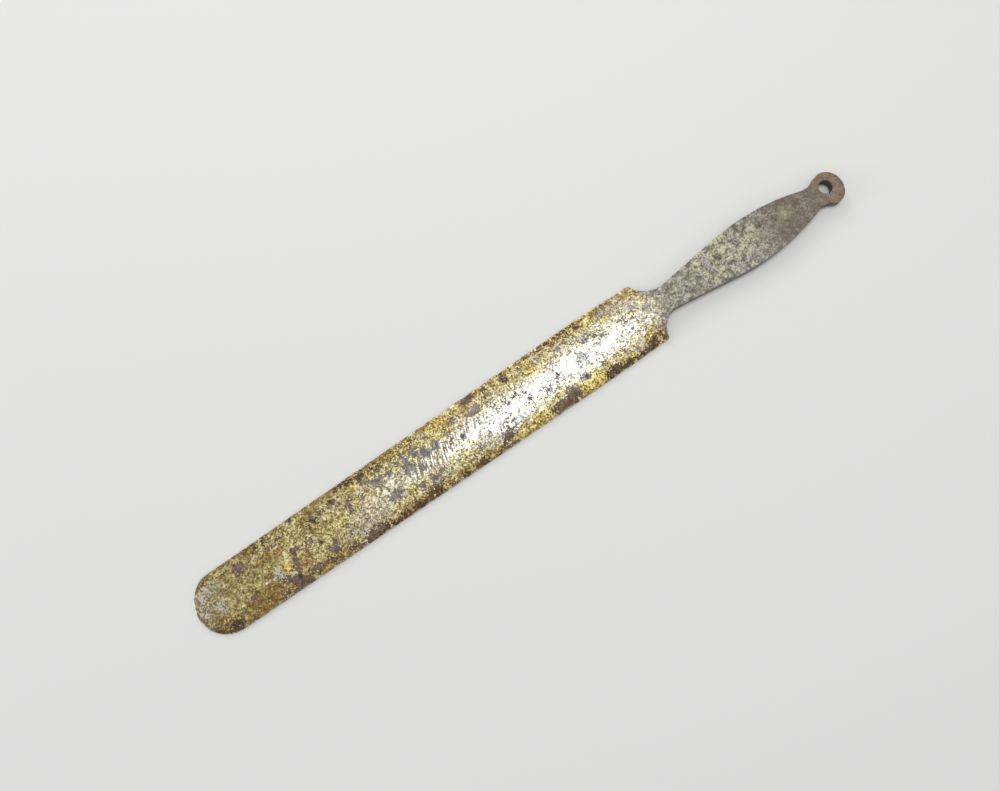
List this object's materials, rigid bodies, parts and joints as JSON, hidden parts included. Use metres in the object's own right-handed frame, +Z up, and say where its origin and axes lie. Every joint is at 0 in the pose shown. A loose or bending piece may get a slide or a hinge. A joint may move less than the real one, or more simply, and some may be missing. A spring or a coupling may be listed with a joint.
{
  "type": "mortar mixing paddle",
  "caption": "Flat steel mixing paddle: long crowned blade with a rounded tip and square shoulders, necked leaf-shaped handle and a hanging eye, forged in one piece.",
  "frame": {"origin": "on the flat underside, under the middle of the overall length and width", "axes": "+X along the length from the blade's tip to the hanging eye, +Z up out of the crowned face"},
  "size_m": [0.356, 0.0324, 0.0048],
  "materials": {
    "aged_steel": "bare forged steel with a worn yellow-brown patina, bright along the blade's crown and brown at the edges and eye"
  },
  "bodies": {
    "root": {"paddle": "aged_steel"}
  },
  "joints": []
}
